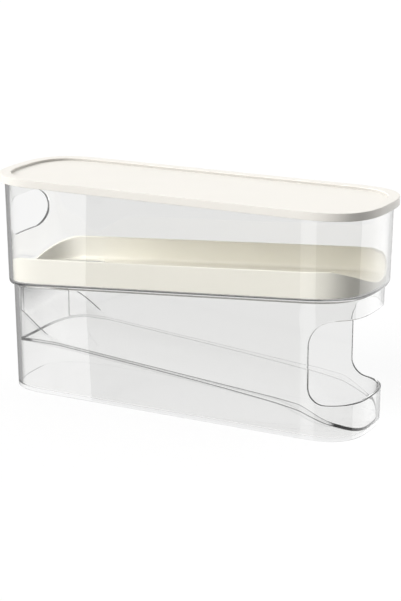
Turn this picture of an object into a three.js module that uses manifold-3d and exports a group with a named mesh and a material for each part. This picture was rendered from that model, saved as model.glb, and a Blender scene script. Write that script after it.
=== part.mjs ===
// Two-tier gravity dispenser: a clear box with a stepped wall, a white sloping tray on the step,
// a clear scoop that drops goods onto a clear sloping ramp, and a white lid.
// Millimetres, +Z up. The origin is the middle of the base. Goods come out at the +X end.

import * as THREE from 'three';
import { mergeVertices } from 'three/addons/utils/BufferGeometryUtils.js';
import Module from 'manifold-3d';

const wasm = await Module();
wasm.setup();

// Plan shape, shared by every piece: straight sides with squarish round ends
const lidLength = 300;
const lidWidth = 97.4;
const endExponent = 2.9;
const endSteps = 24;

// Heights of the whole object
const totalHeight = 163.4;
const lidBandHeight = 5.8;

// Clear body: how far each tier stands in from what is above it, on each side, walls and rounds
const upperTopInset = 3.4;
const upperTaper = 1.1;
const stepWidth = 3.3;
const lowerTaper = 1.05;
const shellWall = 2.3;
const basePlate = 2.4;
const baseRound = 1.6;
const baseInnerRound = 2;
const stepRound = 4;
const ledgeInnerRound = 1.5;
const stepHeight = 90.2;
const tierSlope = 0.077;
const roundSteps = 4;

// Clear body: dispensing window in the +X end and finger slot in the -X end
const windowLength = 40.8;
const windowBottom = 26.1;
const windowHeight = 60.7;
const windowLowerRound = 12;
const windowUpperRound = 20;
const slotBelowLid = 30.1;
const slotHeight = 28.8;
const slotWidth = 56.8;
const slotReach = 24;
const arcSteps = 8;

// Clearances between pieces
const seatGap = 0.3;
const fitGap = 0.4;
const overrun = 2;

// Clear ramp of the lower tier: a trough that falls towards +X and ends in a bowl. The bowl's
// starts and ends are measured back from the +X end.
const rampSlope = 0.08;
const rampEdgeHeight = 34.6;
const rampDepth = 11.4;
const rampLevelLength = 56;
const rampWall = 2.2;
const rampEdgeThicker = 3.6;
const thickerExponent = 3.7;
const troughExponent = 2.5;
const bowlFloor = 5;
const bowlEdgeRise = 12.8;
const bowlMiddleStart = 70;
const bowlMiddleEnd = 40;
const bowlEdgeStart = 50;
const bowlEdgeEnd = 24;

// Clear scoop at the -X end of the lower tier, its lengths measured from that end
const scoopLength = 55.1;
const scoopToeThickness = 1;
const scoopSolidToe = 4;
const scoopWall = 2;
const scoopFlange = 2.4;
const scoopFlangeLength = 23.5;
const scoopFlangeBelowStep = 1.4;
const scoopRise = 0.7;
const scoopCurveRadius = 125;
const scoopDeepening = 0.39;

// White sloping tray of the upper tier
const trayWall = 1.8;
const trayFloor = 2;
const trayRound = 2;
const trayInnerRound = 2.4;
const trayRailHeight = 19.2;
const trayEndDip = 14.4;
const trayDipExponent = 1.5;
const trayDipBlend = 9;
const dropLength = 58;
const dropCornerRound = 10;

// White lid
const lidRound = 1;
const lidRimWidth = 7.8;
const lidRecess = 2;
const lidPanel = 2;
const lidSkirtWall = 2.1;
const lidRimThickness = 2;
const lidRibWall = 1.8;
const lidRibLift = 0.4;

// Widest step of the surfaces given as a height over the plan
const fieldStep = 7.5;

// Places worked out from the sizes
const lengthHalf = lidLength / 2;
const straightHalf = lengthHalf - lidWidth / 2;
const lidSeat = totalHeight - lidBandHeight;
const bodyTop = totalHeight - lidRimThickness - seatGap;
const upperTopHalf = lidWidth / 2 - upperTopInset;
const upperBottomHalf = upperTopHalf - upperTaper;
const lowerTopHalf = upperBottomHalf - stepWidth;
const baseHalf = lowerTopHalf - lowerTaper;
const channelHalf = lowerTopHalf - shellWall;
const windowStart = lengthHalf - windowLength;
const windowTop = windowBottom + windowHeight;
const slotMiddle = lidSeat - slotBelowLid;
const rampLevelFrom = rampLevelLength - lengthHalf;
const bowlMiddleFrom = lengthHalf - bowlMiddleStart;
const bowlMiddleTo = lengthHalf - bowlMiddleEnd;
const bowlEdgeFrom = lengthHalf - bowlEdgeStart;
const bowlEdgeTo = lengthHalf - bowlEdgeEnd;
const scoopToe = scoopLength - lengthHalf;

// Points of the plan outline at one half width, counterclockwise from the +X end's near corner.
// Each end turns by equal steps of direction, so the facets are finest where it bends most.
function outline(half) {
  const points = [];
  const share = 1 / (endExponent - 1);
  for (const side of [1, -1]) {
    for (let i = 0; i <= endSteps; i += 1) {
      const turn = Math.PI * (i / endSteps - 0.5);
      const along = Math.max(Math.cos(turn), 0) ** share;
      const across = Math.sign(turn) * Math.abs(Math.sin(turn)) ** share;
      const size = (along ** endExponent + Math.abs(across) ** endExponent) ** (1 / endExponent);
      points.push([side * (straightHalf + (half * along) / size), (side * half * across) / size]);
    }
  }
  return points;
}

function solid(geometry) {
  const bare = geometry.clone();
  bare.deleteAttribute('normal');
  bare.deleteAttribute('uv');
  const merged = mergeVertices(bare, 1e-5);
  const vertProperties = new Float32Array(merged.attributes.position.array);
  const triVerts = new Uint32Array(merged.index.array);
  return new wasm.Manifold(new wasm.Mesh({ numProp: 3, vertProperties, triVerts }));
}

function indexed(points, faces) {
  const geometry = new THREE.BufferGeometry();
  geometry.setAttribute('position', new THREE.Float32BufferAttribute(points.flat(), 3));
  geometry.setIndex(faces.flat());
  return geometry;
}

// Solid through a stack of plan outlines. A ring is { half, height }, lowest first, and height
// is a function of x, so that a ring may lie in a tilted plane.
function loft(rings) {
  const points = [];
  const faces = [];
  for (const ring of rings) {
    for (const [x, y] of outline(ring.half)) points.push([x, y, ring.height(x)]);
  }
  const count = 2 * (endSteps + 1);
  for (let r = 0; r + 1 < rings.length; r += 1) {
    for (let i = 0; i < count; i += 1) {
      const a = r * count + i;
      const b = r * count + ((i + 1) % count);
      faces.push([a, b, b + count], [a, b + count, a + count]);
    }
  }
  const top = (rings.length - 1) * count;
  for (let i = 0; i + 1 < count / 2; i += 1) {
    const j = count - 1 - i;
    faces.push([i, j - 1, i + 1], [i, j, j - 1]);
    faces.push([top + i, top + i + 1, top + j - 1], [top + i, top + j - 1, top + j]);
  }
  return solid(indexed(points, faces));
}

// Solid between two heights given over the plan, on a rectangle of even steps
function field(from, to, low, high) {
  const points = [];
  const faces = [];
  const stepsLong = Math.ceil((to[0] - from[0]) / fieldStep);
  const stepsWide = Math.ceil((to[1] - from[1]) / fieldStep);
  const wide = stepsWide + 1;
  for (const height of [low, high]) {
    for (let i = 0; i <= stepsLong; i += 1) {
      const x = from[0] + ((to[0] - from[0]) * i) / stepsLong;
      for (let j = 0; j < wide; j += 1) {
        const y = from[1] + ((to[1] - from[1]) * j) / stepsWide;
        points.push([x, y, height(x, y)]);
      }
    }
  }
  const layer = (stepsLong + 1) * wide;
  for (let i = 0; i < stepsLong; i += 1) {
    for (let j = 0; j < stepsWide; j += 1) {
      const a = i * wide + j;
      const b = a + wide;
      faces.push([a, a + 1, b + 1], [a, b + 1, b]);
      faces.push([layer + a, layer + b, layer + b + 1], [layer + a, layer + b + 1, layer + a + 1]);
    }
  }
  const wall = (a, b) => faces.push([a, b, layer + b], [a, layer + b, layer + a]);
  for (let i = 0; i < stepsLong; i += 1) {
    wall(i * wide, (i + 1) * wide);
    wall((i + 1) * wide + stepsWide, i * wide + stepsWide);
  }
  for (let j = 0; j < stepsWide; j += 1) {
    wall(j + 1, j);
    wall(stepsLong * wide + j, stepsLong * wide + j + 1);
  }
  return solid(indexed(points, faces));
}

// Rings of a quarter round that starts flat at height 0 and ends upright at the full rise
function quarterRings(flatHalf, uprightHalf, rise, base) {
  const rings = [];
  for (let i = 0; i <= roundSteps; i += 1) {
    const turn = (Math.PI / 2) * (i / roundSteps);
    const half = flatHalf + (uprightHalf - flatHalf) * Math.sin(turn);
    const lift = rise * (1 - Math.cos(turn));
    rings.push({ half, height: (x) => base(x) + lift });
  }
  return rings;
}

// Rings of an upright wall that turns outward (side 1) or inward (side -1) into a flat top
function edgeRings(half, round, top, side) {
  const rings = [];
  for (let i = 0; i <= roundSteps; i += 1) {
    const turn = (Math.PI / 2) * (i / roundSteps);
    const height = top - round + round * Math.sin(turn);
    rings.push({ half: half + side * round * (1 - Math.cos(turn)), height: level(height) });
  }
  return rings;
}

const level = (height) => () => height;
const stepAt = (lift) => (x) => stepHeight + tierSlope * x + lift;
const clamped = (share) => Math.min(Math.max(share, 0), 1);
const eased = (share) => clamped(share) ** 2 * (3 - 2 * clamped(share));
const acrossShare = (y, half) => clamped(Math.abs(y) / half);

const clearPlastic = { color: 0xeceeee, roughness: 0.05, transparent: true, opacity: 0.3 };
const whitePlastic = { color: 0xf8f6f0, roughness: 0.45 };

function mesh(name, shape, plastic) {
  const cut = shape.getMesh();
  const geometry = new THREE.BufferGeometry();
  geometry.setAttribute('position', new THREE.Float32BufferAttribute(cut.vertProperties, 3));
  geometry.setIndex(Array.from(cut.triVerts));
  geometry.computeVertexNormals();
  const piece = new THREE.Mesh(geometry, new THREE.MeshStandardMaterial(plastic));
  piece.name = name;
  return piece;
}

// Clear body

// Rectangle with its own round at each of the two left corners
function windowShape() {
  const right = lengthHalf + overrun;
  const shape = new THREE.Shape();
  shape.moveTo(right, windowBottom);
  shape.lineTo(right, windowTop);
  shape.lineTo(windowStart + windowUpperRound, windowTop);
  const upper = [windowStart + windowUpperRound, windowTop - windowUpperRound];
  shape.absarc(upper[0], upper[1], windowUpperRound, Math.PI / 2, Math.PI, false);
  const lower = [windowStart + windowLowerRound, windowBottom + windowLowerRound];
  shape.absarc(lower[0], lower[1], windowLowerRound, Math.PI, 1.5 * Math.PI, false);
  shape.closePath();
  return shape;
}

function windowCutter() {
  const geometry = new THREE.ExtrudeGeometry(windowShape(), {
    depth: lidWidth,
    bevelEnabled: false,
    curveSegments: arcSteps,
  });
  geometry.rotateX(Math.PI / 2);
  geometry.translate(0, lidWidth / 2, 0);
  return solid(geometry);
}

function slotCutter() {
  const round = slotHeight / 2;
  const reach = slotWidth / 2 - round;
  const shape = new THREE.Shape();
  shape.absarc(reach, slotMiddle, round, -Math.PI / 2, Math.PI / 2, false);
  shape.absarc(-reach, slotMiddle, round, Math.PI / 2, 1.5 * Math.PI, false);
  shape.closePath();
  const geometry = new THREE.ExtrudeGeometry(shape, {
    depth: slotReach,
    bevelEnabled: false,
    curveSegments: arcSteps,
  });
  geometry.rotateX(Math.PI / 2);
  geometry.rotateZ(Math.PI / 2);
  geometry.translate(-lengthHalf, 0, 0);
  return solid(geometry);
}

function clearBody() {
  const outside = loft([
    ...quarterRings(baseHalf - baseRound, baseHalf, baseRound, level(0)),
    ...quarterRings(lowerTopHalf, upperBottomHalf, stepRound, stepAt(0)),
    { half: upperTopHalf, height: level(bodyTop) },
  ]);
  const innerBase = baseHalf - shellWall;
  const innerUpper = upperBottomHalf - shellWall;
  const inside = loft([
    ...quarterRings(innerBase - baseInnerRound, innerBase, baseInnerRound, level(basePlate)),
    { half: channelHalf, height: stepAt(shellWall) },
    ...quarterRings(innerUpper - ledgeInnerRound, innerUpper, ledgeInnerRound, stepAt(shellWall)),
    { half: upperTopHalf - shellWall, height: level(bodyTop) },
    { half: upperTopHalf - shellWall, height: level(bodyTop + overrun) },
  ]);
  const shape = outside.subtract(inside).subtract(windowCutter()).subtract(slotCutter());
  return mesh('clear_body', shape, clearPlastic);
}

// Clear ramp: height of its rolling surface along the walls, along the middle, and anywhere

function rampEdge(x) {
  const slope = rampEdgeHeight - rampSlope * Math.max(x, rampLevelFrom);
  const drop = eased((x - bowlEdgeFrom) / (bowlEdgeTo - bowlEdgeFrom));
  return slope + (bowlFloor + bowlEdgeRise - slope) * drop;
}

function rampMiddle(x) {
  const slope = rampEdgeHeight - rampDepth - rampSlope * x;
  const drop = eased((x - bowlMiddleFrom) / (bowlMiddleTo - bowlMiddleFrom));
  return slope + (bowlFloor - slope) * drop;
}

function rampTop(x, y) {
  const rise = acrossShare(y, channelHalf) ** troughExponent;
  return rampMiddle(x) + (rampEdge(x) - rampMiddle(x)) * rise;
}

// The ramp thickens towards the walls as it nears the bowl, and thins again inside it
function rampUnderside(x, y) {
  const run = clamped((x - rampLevelFrom) / (bowlMiddleTo - rampLevelFrom)) ** thickerExponent;
  const bowl = eased((x - bowlEdgeFrom) / (bowlEdgeTo - bowlEdgeFrom));
  const thicker = rampEdgeThicker * run * (1 - bowl);
  const share = acrossShare(y, channelHalf) ** troughExponent;
  return rampTop(x, y) - rampWall - thicker * share;
}

// Stack of outlines that follows the inside of the lower tier at a clearance
function lowerTier(clearance, top) {
  const half = baseHalf - shellWall - clearance;
  return loft([
    ...quarterRings(half - baseInnerRound, half, baseInnerRound, level(basePlate + seatGap)),
    { half: channelHalf - clearance, height: top },
  ]);
}

function planField(low, high) {
  const reach = [lengthHalf, lidWidth / 2];
  return field([-reach[0], -reach[1]], reach, low, high);
}

function rollOutRamp() {
  const shape = lowerTier(fitGap, stepAt(0)).intersect(planField(rampUnderside, rampTop));
  return mesh('roll_out_ramp', shape, clearPlastic);
}

// Clear scoop: a curved sheet from the -X end wall down to the ramp, with a flange behind it

function scoopTop(x, y) {
  const back = Math.max(scoopToe - x, 0);
  const edge = rampEdge(x) + seatGap + scoopToeThickness;
  const climb = scoopRise * back + back ** 2 / (2 * scoopCurveRadius);
  const depth = rampDepth + scoopDeepening * back;
  return edge + climb - depth * (1 - acrossShare(y, channelHalf) ** troughExponent);
}

function scoopField(to, low, high) {
  const reach = lidWidth / 2;
  return field([-lengthHalf, -reach], [to, reach], low, high);
}

function dropScoop() {
  const seat = (x, y) => rampTop(x, y) + seatGap;
  const belowSeat = (x, y) => rampTop(x, y) - overrun;
  const underSheet = (x, y) => scoopTop(x, y) - scoopWall;
  const outside = lowerTier(fitGap, stepAt(0));
  const inside = lowerTier(fitGap + scoopFlange, stepAt(overrun));
  const block = outside.intersect(scoopField(scoopToe, seat, scoopTop));
  const hollow = inside.intersect(scoopField(scoopToe - scoopSolidToe, belowSeat, underSheet));
  const flangeTop = stepAt(-scoopFlangeBelowStep);
  const flangeTo = scoopFlangeLength - lengthHalf;
  const flange = outside.subtract(inside).intersect(scoopField(flangeTo, seat, flangeTop));
  const shape = block.subtract(hollow).add(flange);
  return mesh('drop_scoop', shape, clearPlastic);
}

// White tray: straight rails that dip towards both ends, and a drop opening at the -X end

function trayRim(x, y) {
  const end = eased((Math.abs(x) - straightHalf) / trayDipBlend);
  const dip = trayEndDip * (1 - acrossShare(y, channelHalf) ** trayDipExponent);
  return tierSlope * x + trayRailHeight - dip * end;
}

// Tall block over the drop opening, rounded at its two inner corners
function dropCutter() {
  const round = dropCornerRound;
  const turnX = dropLength - lengthHalf - round;
  const turnY = channelHalf + overrun - round;
  const shape = new THREE.Shape();
  shape.moveTo(-lengthHalf, -turnY - round);
  shape.lineTo(turnX, -turnY - round);
  shape.absarc(turnX, -turnY, round, -Math.PI / 2, 0, false);
  shape.absarc(turnX, turnY, round, 0, Math.PI / 2, false);
  shape.lineTo(-lengthHalf, turnY + round);
  shape.closePath();
  const geometry = new THREE.ExtrudeGeometry(shape, {
    depth: totalHeight,
    bevelEnabled: false,
    curveSegments: arcSteps,
  });
  geometry.translate(0, 0, -totalHeight / 2);
  return solid(geometry);
}

function slopingTray() {
  const half = upperBottomHalf - shellWall - fitGap;
  const tilt = (lift) => (x) => tierSlope * x + lift;
  const outside = loft([
    ...quarterRings(half - trayRound, half, trayRound, tilt(0)),
    { half, height: tilt(trayRailHeight + overrun) },
  ]);
  const innerHalf = half - trayWall;
  const inside = loft([
    ...quarterRings(innerHalf - trayInnerRound, innerHalf, trayInnerRound, tilt(trayFloor)),
    { half: innerHalf, height: tilt(trayRailHeight + 2 * overrun) },
  ]);
  const under = planField((x) => tierSlope * x - overrun, trayRim);
  const opening = loft([
    { half: channelHalf - fitGap, height: tilt(-overrun) },
    { half: channelHalf - fitGap, height: tilt(trayFloor + trayInnerRound) },
  ]).intersect(dropCutter());
  const shape = outside.subtract(inside).intersect(under).subtract(opening);
  const tray = mesh('sloping_tray', shape, whitePlastic);
  tray.position.z = stepHeight + shellWall + seatGap;
  return tray;
}

// White lid: a shallow cap whose rim straddles the body's top edge

function lid() {
  const half = lidWidth / 2;
  const block = loft([{ half, height: level(0) }, ...edgeRings(half, lidRound, lidBandHeight, -1)]);
  const recessHalf = half - lidRimWidth;
  const recess = loft([
    { half: recessHalf, height: level(lidBandHeight - lidRecess) },
    ...edgeRings(recessHalf, lidRound, lidBandHeight, 1),
    { half: recessHalf + lidRound, height: level(lidBandHeight + overrun) },
  ]);
  const ribOuter = upperTopHalf - shellWall - fitGap;
  const channel = loft([
    { half: half - lidSkirtWall, height: level(-overrun) },
    { half: half - lidSkirtWall, height: level(lidBandHeight - lidRimThickness) },
  ]);
  const rib = loft([
    { half: ribOuter, height: level(lidRibLift) },
    { half: ribOuter, height: level(lidBandHeight) },
  ]);
  const pocket = loft([
    { half: ribOuter - lidRibWall, height: level(-overrun) },
    { half: ribOuter - lidRibWall, height: level(lidBandHeight - lidRecess - lidPanel) },
  ]);
  const shape = block.subtract(recess).subtract(channel.subtract(rib)).subtract(pocket);
  const cap = mesh('lid', shape, whitePlastic);
  cap.position.z = lidSeat;
  return cap;
}

const dispenser = new THREE.Group();
dispenser.add(clearBody(), rollOutRamp(), dropScoop(), slopingTray(), lid());

export default dispenser;
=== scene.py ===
"""Two-tier gravity dispenser: clear stepped body, clear ramp and scoop, white tray and white lid.

Metres, +Z up. The origin is the middle of the base, and goods come out at the +X end.
"""

import math

import bmesh
import bpy
import numpy as np
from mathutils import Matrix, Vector


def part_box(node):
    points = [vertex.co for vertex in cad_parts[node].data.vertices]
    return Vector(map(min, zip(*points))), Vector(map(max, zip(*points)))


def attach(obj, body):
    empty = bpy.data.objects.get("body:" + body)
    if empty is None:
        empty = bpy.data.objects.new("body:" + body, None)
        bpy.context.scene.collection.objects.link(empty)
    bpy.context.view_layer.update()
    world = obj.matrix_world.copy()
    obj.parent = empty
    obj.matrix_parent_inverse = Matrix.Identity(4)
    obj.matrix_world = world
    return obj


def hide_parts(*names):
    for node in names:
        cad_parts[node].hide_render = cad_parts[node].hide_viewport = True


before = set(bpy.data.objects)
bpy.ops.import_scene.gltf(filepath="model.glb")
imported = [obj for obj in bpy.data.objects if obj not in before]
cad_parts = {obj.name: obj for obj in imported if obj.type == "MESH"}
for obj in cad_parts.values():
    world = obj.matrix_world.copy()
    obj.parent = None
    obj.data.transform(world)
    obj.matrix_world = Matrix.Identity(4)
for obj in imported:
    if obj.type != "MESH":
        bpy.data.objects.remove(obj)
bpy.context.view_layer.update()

bl_info = {
    "name": "Two-tier dispenser",
    "version": (1, 0, 0),
    "blender": (4, 5, 0),
    "location": "3D View > Sidebar > Dispenser",
    "description": "Makes the clear body, ramp, scoop, tray, lid and stage of a two-tier dispenser",
    "category": "Add Mesh",
}

MM = 0.001
LID_LOW, LID_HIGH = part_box("lid")
BODY_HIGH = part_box("clear_body")[1]

# Half width along which the stations of the plan are measured, and samples of one end's arc
STATION_HALF, ARC_SAMPLES = 40 * MM, 4001
# How far the support rows of a straight stretch lie from its ends, and the most of a step that
# they take
BODY_SUPPORT, LID_SUPPORT, SUPPORT_LIMIT = 0.4 * MM, 0.3 * MM, 0.4
# Rings round an opening, as shares of the way to the border of its block of the grid
OPENING_RINGS = (0, 0.04, 0.12, 0.28, 0.5, 0.75, 1)
# Ends of these blocks, as shares of the wall's height, and their reach past the openings
WINDOW_BLOCK, WINDOW_MARGIN = (0.17, 0.95), 12 * MM
SLOT_BLOCK, SLOT_MARGIN = (0.29, 0.85), 8 * MM
# How far past its upper round the window's outline starts to follow the wall's round end
WINDOW_CORNER = 4 * MM
# Rings of the ramp, as shares of the way from its middle line to its edge
RAMP_RINGS = np.append(np.linspace(0, 1, 25) ** 0.9 * 0.98, 0.993)
# How much of the ramp's thickening the bowl takes back
BOWL_THINNING = 0.8
# The ramp's painted dark lines, which stand in for the dark that bent light shows at its edges:
# their largest share of the edge's face, the share of a dark stretch over which it sets in, and the
# lengths over which the middle line sets in and the far lines fade
LINE_LIMIT, DARK_EASE = 0.2, 0.15
MIDDLE_EASE, FAR_EASE = 40 * MM, 20 * MM
# Where a line along the face has faded, in line widths, and the rows of the middle line
LINE_FADED, MIDDLE_ROWS = 1.5, (0.45, 0.5, 0.55)
# Height at which the scoop takes the width of the tier, steps along its section, and rows beside
# its upper edge as shares of the painted dark strip's height
SCOOP_LEVEL, SCOOP_STEPS, SCOOP_STRIP = 55 * MM, 33, (0, 1, 1.4)
# How far past the drop opening the tray's floor parts, mesh steps round half the tray, and rings
# of its floor and its rails as shares of the way out and up
TRAY_SPLIT, TRAY_STEPS = 40 * MM, (48, 30, 16, 24, 48)
FLOOR_SHARES = np.array([0, 0.02, 0.25, 0.5, 0.75, 0.97])
RAIL_SHARES = np.linspace(0.05, 0.95, 8)
# Round of the lid's lower edge
LID_LOW_ROUND = 0.3 * MM
# Passes in which a place on a leaning wall settles, on the ramp's edge and beside an opening
RAMP_PASSES, WALL_PASSES = 4, 6
# Points closer than the first are merged and edges shorter than the second taken out, in metres,
# and edges that turn by more than the third stay sharp, in degrees
MERGED, SLIVER, SHARP = 2e-6, 1e-6, 40

# Compass direction in degrees and brightness of what gloss reflects
SOFT_BOXES = (
    (-180, 0.6), (-172, 1.1), (-158, 1.9), (-140, 2.0), (-121.8, 2.1), (-118, 2.2), (-115, 2.6),
    (-111, 3.6), (-100, 3.6), (13, 1.7), (60, 2.1), (80, 2.3), (90, 1.5), (112, 1.3), (130, 0.5),
    (180, 0.5),
)
# The brightness that the boxes' ramp counts as 1, and the share of it above and below the boxes
BOX_SCALE, BESIDE_BOXES = 4.0, 0.26
# Height, as a share from straight down to straight up, and how far the boxes show there
BOX_BAND = ((0.26, 0.0), (0.34, 1.0), (0.5, 1.0), (0.56, 0.0))
# Compass direction in degrees and the share of the boxes' brightness from there on
CARDS = ((-121.8, 0.06), (-113.5, 0.42), (-100, 0.03), (13, 1.0))
# Height and brightness of what shows through clear plastic
CEILING = ((0.35, 0.96), (0.45, 0.9), (0.67, 0.85), (0.8, 0.3))
# Compass direction in degrees and brightness of the light from all round
ROOM = (
    (-180, 0.1), (-140, 0.2), (-110, 0.35), (-85, 0.15), (-70, 0.05), (-15, 0.05), (15, 1.0),
    (60, 1.4), (110, 0.8), (150, 0.3), (180, 0.1),
)
# Key lamp: where it shines from, its spread in degrees and its strength
KEY_PLACE, KEY_SPREAD, KEY_STRENGTH = (-0.95, -1.0, 0.75), 40.0, 3.5
# Floor: half its side and its height, its tone and glow to the camera, and its brightness
# through clear plastic, straight and after a reflection
FLOOR_REACH, FLOOR_HEIGHT = 4.0, 0.3 * MM
FLOOR_TONE, FLOOR_GLOW = 0.13, 0.88
FLOOR_STRAIGHT, FLOOR_REFLECTED = 0.9, 0.4
WHITE = (1, 1, 1, 1)
# Shares of a tone that mottling, the painted shade of a corner that light hardly reaches and the
# floor's grain keep, and how far the white plastics' roughness strays to either side
MOTTLED, SHADED, GRAINED, ROUGH_SPREAD = 0.97, 0.66, 0.99, 0.06


def size(name, description, value):
    """A length property, in metres."""
    return bpy.props.FloatProperty(
        name=name, description=description, default=value, unit="LENGTH", precision=5
    )


def number(name, description, value):
    """A plain number property."""
    return bpy.props.FloatProperty(name=name, description=description, default=value, precision=4)


def count(name, description, value):
    """A whole number property."""
    return bpy.props.IntProperty(name=name, description=description, default=value, min=1)


def colour(name, description, value):
    """A colour property, in linear light."""
    return bpy.props.FloatVectorProperty(
        name=name, description=description, default=value, size=3, subtype="COLOR", min=0, max=1
    )


def spot(name, description, value):
    """A point property, in metres."""
    return bpy.props.FloatVectorProperty(
        name=name, description=description, default=value, size=3, subtype="TRANSLATION",
        unit="LENGTH",
    )


class PlanSizes(bpy.types.PropertyGroup):
    """Plan shape and step that every piece shares."""

    length: size("Length", "Length of the lid, end to end", LID_HIGH[0] - LID_LOW[0])
    width: size("Width", "Width of the lid", LID_HIGH[1] - LID_LOW[1])
    exponent: number("End exponent", "2 makes the ends half circles, more makes them squarer", 2.9)
    step_height: size("Step height", "Underside of the step at mid length", 90.2 * MM)
    slope: number("Tier slope", "Rise of the step and the tray towards +X", 0.077)
    wall: size("Wall", "Wall thickness of the clear body", 2.3 * MM)
    seat_gap: size("Seat gap", "Gap under a piece that rests on another", 0.3 * MM)
    fit_gap: size("Fit gap", "Gap beside a piece that fits in another", 0.4 * MM)
    end_steps: count("End steps", "Mesh steps round one end", 96)
    side_steps: count("Side steps", "Mesh steps along half a side", 22)


class BodySizes(bpy.types.PropertyGroup):
    """Clear body: tiers, rounds, dispensing window and finger slot."""

    top_height: size("Top height", "Top edge of the body", BODY_HIGH[2])
    top_half: size("Top half width", "Half the width at the top edge", BODY_HIGH[1])
    taper: size("Upper taper", "How far the upper tier narrows on each side", 1.1 * MM)
    step_width: size("Step width", "How far the lower tier stands in on each side", 3.3 * MM)
    lower_taper: size("Lower taper", "How far the lower tier narrows on each side", 1.05 * MM)
    base_plate: size("Base plate", "Thickness of the base", 2.4 * MM)
    base_round: size("Base round", "Round of the lower edge", 0.9 * MM)
    base_inner: size("Inner base round", "Round inside the base", 1.0 * MM)
    step_round: size("Step round", "Height of the round under the step", 4.0 * MM)
    step_fillet: size("Step fillet", "Fillet where the lower wall meets the step", 0.8 * MM)
    ledge_round: size("Ledge round", "Round where the ledge meets the upper wall", 1.5 * MM)
    ledge_edge: size("Ledge edge", "Round of the ledge's inner edge", 0.5 * MM)
    edge: size("Cut edge", "Round of the cut edges and the rim", 0.5 * MM)
    window_length: size("Window length", "From the +X end to the window's far edge", 40.8 * MM)
    window_low: size("Window bottom", "Height of the window's lower edge", 26.1 * MM)
    window_height: size("Window height", "Height of the dispensing window", 60.7 * MM)
    window_round_low: size("Lower window round", "Corner round at the bottom", 12.0 * MM)
    window_round_high: size("Upper window round", "Corner round at the top", 20.0 * MM)
    slot_width: size("Slot width", "Width of the finger slot", 56.8 * MM)
    slot_height: size("Slot height", "Height of the finger slot", 28.8 * MM)
    slot_below_lid: size("Slot below lid", "From the lid's edge to the slot's middle", 30.1 * MM)
    wall_steps: count("Wall steps", "Mesh steps up each wall", 48)


class RampSizes(bpy.types.PropertyGroup):
    """Clear trough of the lower tier and the bowl at its +X end."""

    slope: number("Slope", "Fall of the ramp towards +X", 0.08)
    edge_height: size("Edge height", "Height at the wall at mid length", 34.6 * MM)
    depth: size("Depth", "How deep the trough is in the middle", 11.4 * MM)
    level_length: size("Level length", "Level stretch of the edge at the -X end", 56.0 * MM)
    wall: size("Wall", "Thickness of the ramp", 2.2 * MM)
    thicker: size("Thicker by", "How much thicker the edge gets before the bowl", 3.6 * MM)
    thicker_exponent: number("Thickening exponent", "How late the edge thickens", 3.7)
    trough_exponent: number("Trough exponent", "2 is a parabola, more is flatter", 2.5)
    bowl_floor: size("Bowl floor", "Height of the bowl's floor", 5.0 * MM)
    bowl_rise: size("Bowl rise", "How far the bowl's edge stands over its floor", 12.8 * MM)
    middle_start: size("Bowl middle start", "From the +X end, along the middle", 70.0 * MM)
    middle_end: size("Bowl middle end", "From the +X end, along the middle", 40.0 * MM)
    edge_start: size("Bowl edge start", "From the +X end, along the wall", 50.0 * MM)
    edge_end: size("Bowl edge end", "From the +X end, along the wall", 24.0 * MM)
    round_top: size("Upper edge round", "Round of the upper edge", 0.3 * MM)
    round_low: size("Lower edge round", "Round of the lower edge", 0.3 * MM)
    round_bowl: size("Bowl edge round", "Round of the lower edge in the bowl", 0.4 * MM)
    # The edge's lines are painted dark, standing in for the dark that bent light shows at the
    # ramp's edges
    line: size("Edge line", "Width of the dark lines along the edge's faces", 0.15 * MM)
    dark_bowl: size("Dark bowl edge", "From the +X end, where the whole edge is dark", 28.0 * MM)
    dark_back: size("Dark back edge", "From the -X end, where the whole edge is dark", 38.0 * MM)
    far_line: number("Far line", "How dark the lines are on the far side", 0.45)
    far_start: size("Far start", "Where across the ramp the lines grow fainter", 12.0 * MM)


class ScoopSizes(bpy.types.PropertyGroup):
    """Clear scoop at the -X end of the lower tier."""

    length: size("Length", "From the -X end to the toe", 55.1 * MM)
    toe: size("Toe thickness", "Thickness at the toe", 1.0 * MM)
    solid_toe: size("Solid toe", "Length of the solid stretch behind the toe", 4.0 * MM)
    wall: size("Wall", "Thickness of the curved sheet", 2.0 * MM)
    flange: size("Flange", "Thickness of the flange on the end wall", 2.4 * MM)
    flange_length: size("Flange length", "How far the flange reaches round the end", 23.5 * MM)
    below_step: size("Below step", "Gap from the flange's top to the step", 1.4 * MM)
    rise: number("Rise", "Slope of the sheet at the toe", 0.55)
    curve: size("Curve radius", "Radius that the sheet curves up with", 60.0 * MM)
    deepening: number("Deepening", "How fast the sheet's trough deepens", 0.42)
    # The strip beside the upper edge is painted dark, standing in for the dark that bent light
    # shows there
    edge: size("Edge", "Height of the dark strip beside the sheet's upper edge", 0.7 * MM)


class TraySizes(bpy.types.PropertyGroup):
    """White sloping tray of the upper tier."""

    wall: size("Wall", "Thickness of the rails", 1.8 * MM)
    floor: size("Floor", "Thickness of the floor", 2.0 * MM)
    round: size("Lower round", "Round of the lower outer edge", 1.0 * MM)
    inner_round: size("Inner round", "Round inside, at the foot of the rails", 2.2 * MM)
    rail: size("Rail height", "Height of the rails over the tray's underside", 19.2 * MM)
    dip: size("End dip", "How far the rim dips in the middle of each end", 14.4 * MM)
    dip_exponent: number("Dip exponent", "2 is a parabola, less is more pointed", 1.5)
    dip_blend: size("Dip blend", "Length over which the dip sets in", 9.0 * MM)
    drop_length: size("Drop length", "From the -X end to the drop opening's far edge", 58.0 * MM)
    lip: size("Lip", "Width of the floor left at the foot of the rails", 0.7 * MM)
    edge: size("Edge round", "Round of the rim and of the opening's edge", 0.5 * MM)


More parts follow.
